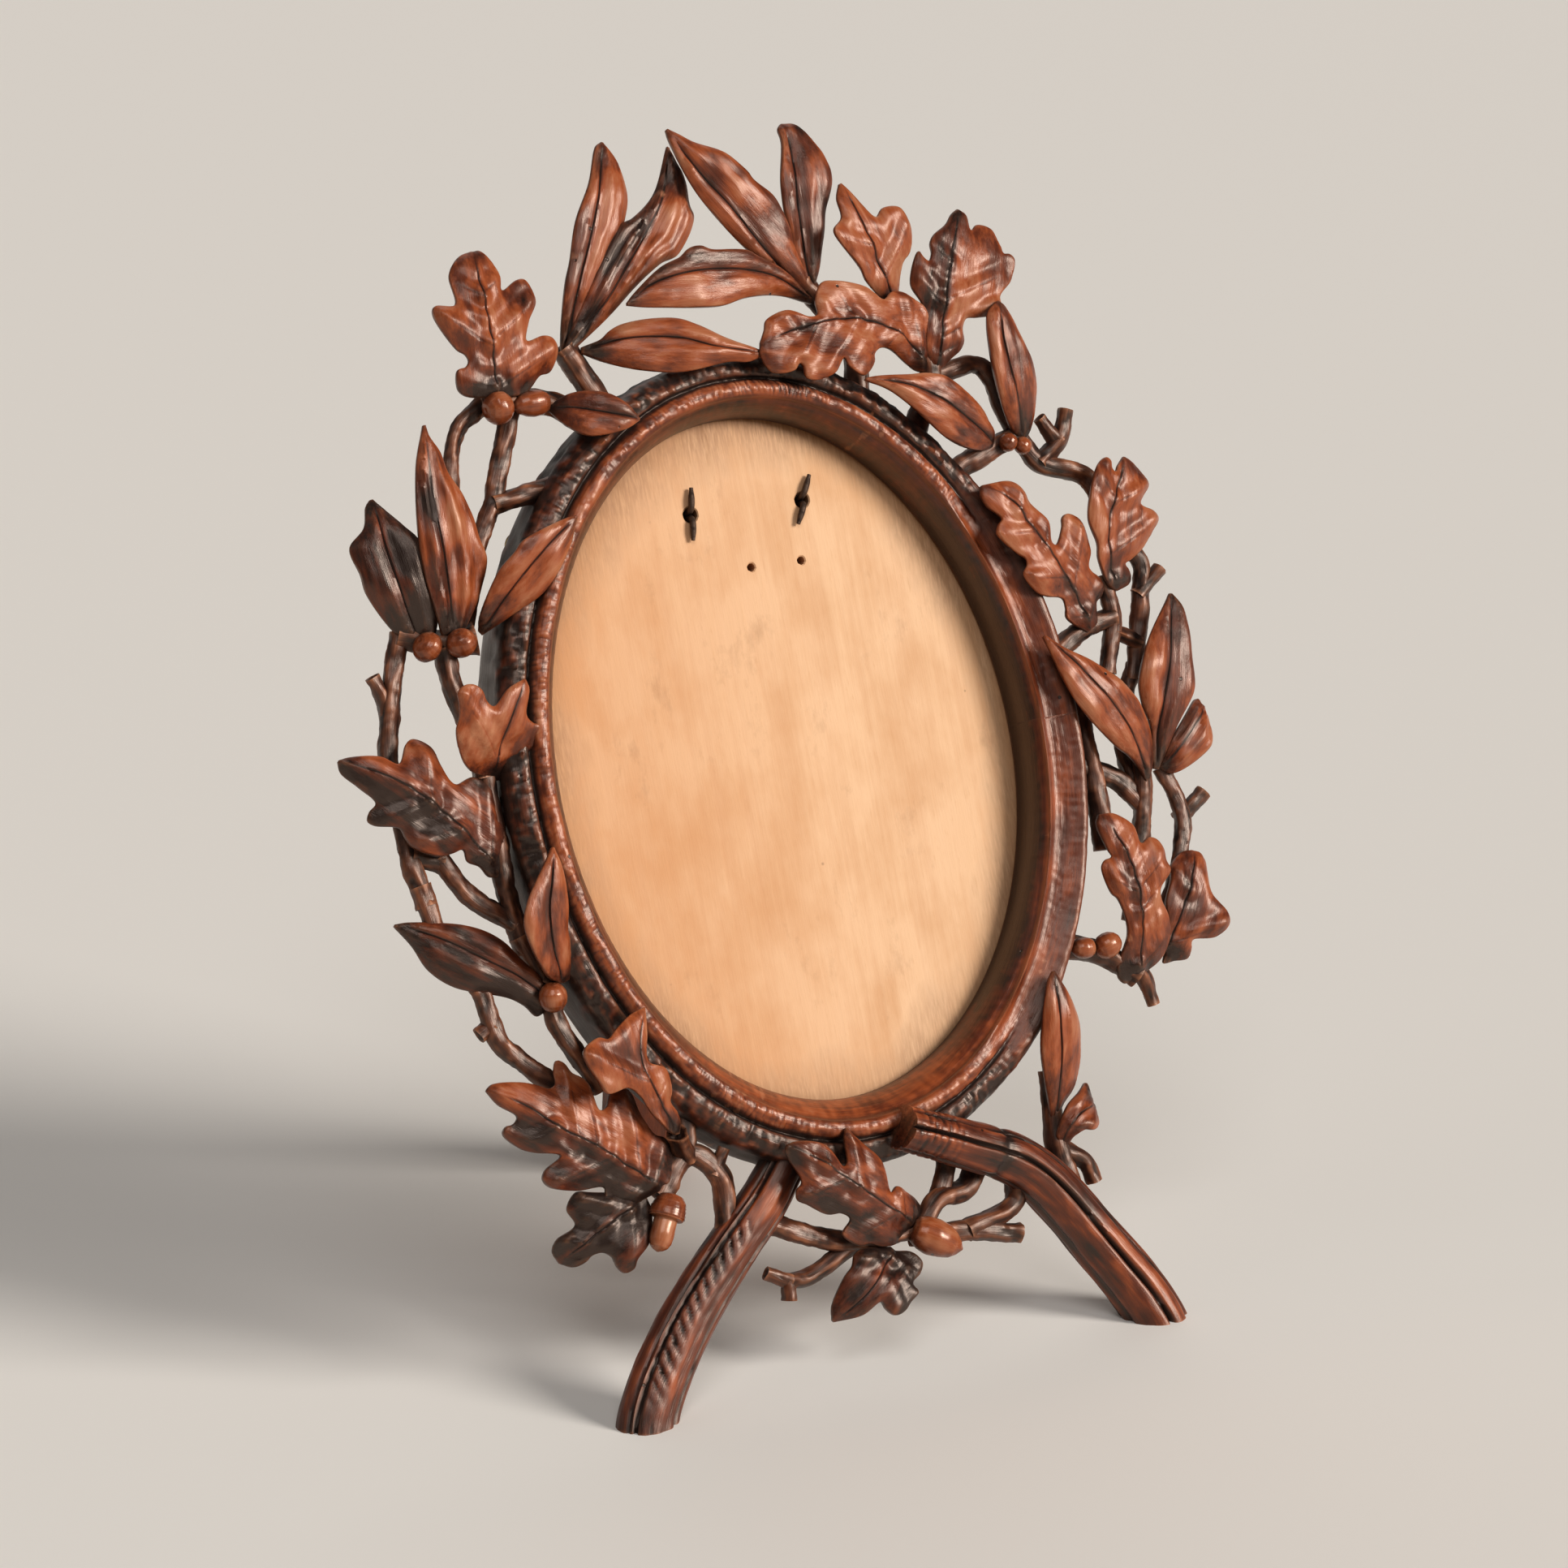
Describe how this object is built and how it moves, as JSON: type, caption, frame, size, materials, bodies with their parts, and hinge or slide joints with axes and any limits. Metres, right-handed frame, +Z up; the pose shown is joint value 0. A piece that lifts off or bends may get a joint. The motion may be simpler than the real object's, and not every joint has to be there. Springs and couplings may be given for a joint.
{
  "type": "easel picture frame",
  "caption": "Oval picture frame of stained carved wood, wreathed in oak and laurel sprays, on branch-shaped legs, with a back board held by turn buttons and a strut that folds.",
  "frame": {"origin": "on the table, in the middle of the bounding box seen from above", "axes": "+Z up from the table, -Y towards the viewer in front of the picture, +X to the viewer's right"},
  "size_m": [0.1888, 0.1416, 0.2351],
  "materials": {
    "ring_wood": "dark stain, waxed",
    "carved_wood": "red-brown stain, waxed",
    "board_wood": "bare, fine grained",
    "strut_wood": "thin stain",
    "iron_wire": "dull, brown with age",
    "button_brass": "tarnished",
    "screw_brass": "tarnished"
  },
  "bodies": {
    "frame": {"oval_ring": "ring_wood", "left_leg": "carved_wood", "right_leg": "carved_wood", "crest_left_spray": "carved_wood", "upper_left_spray": "carved_wood", "crest_middle_spray": "carved_wood", "crest_right_spray": "carved_wood", "right_shoulder_spray": "carved_wood", "right_upper_spray": "carved_wood", "right_middle_spray": "carved_wood", "right_lower_spray": "carved_wood", "right_leg_spray": "carved_wood", "bottom_spray": "carved_wood", "lower_left_spray": "carved_wood", "left_lower_spray": "carved_wood", "left_middle_spray": "carved_wood", "left_upper_spray": "carved_wood", "back_board": "board_wood", "left_board_pin": "iron_wire", "right_board_pin": "iron_wire", "button_screw_1": "screw_brass", "button_screw_2": "screw_brass", "button_screw_3": "screw_brass", "button_screw_4": "screw_brass"},
    "strut": {"strut": "strut_wood", "left_strut_pin": "iron_wire", "right_strut_pin": "iron_wire"},
    "button_1": {"turn_button_1": "button_brass"},
    "button_2": {"turn_button_2": "button_brass"},
    "button_3": {"turn_button_3": "button_brass"},
    "button_4": {"turn_button_4": "button_brass"}
  },
  "joints": [
    {"name": "strut_fold", "type": "hinge", "parent": "frame", "child": "strut", "pos_m": [0.00154, 0.00798, 0.15788], "axis": [-1, 0, 0], "range_deg": [0, 41]},
    {"name": "button_1_turn", "type": "hinge", "parent": "frame", "child": "button_1", "pos_m": [0.04465, 0.00536, 0.15789], "axis": [0, -0.9336, 0.3584], "continuous": true},
    {"name": "button_2_turn", "type": "hinge", "parent": "frame", "child": "button_2", "pos_m": [0.04465, -0.03089, 0.06346], "axis": [0, -0.9336, 0.3584], "continuous": true},
    {"name": "button_3_turn", "type": "hinge", "parent": "frame", "child": "button_3", "pos_m": [-0.04517, -0.03089, 0.06346], "axis": [0, -0.9336, 0.3584], "continuous": true},
    {"name": "button_4_turn", "type": "hinge", "parent": "frame", "child": "button_4", "pos_m": [-0.04517, 0.00536, 0.15789], "axis": [0, -0.9336, 0.3584], "continuous": true}
  ]
}
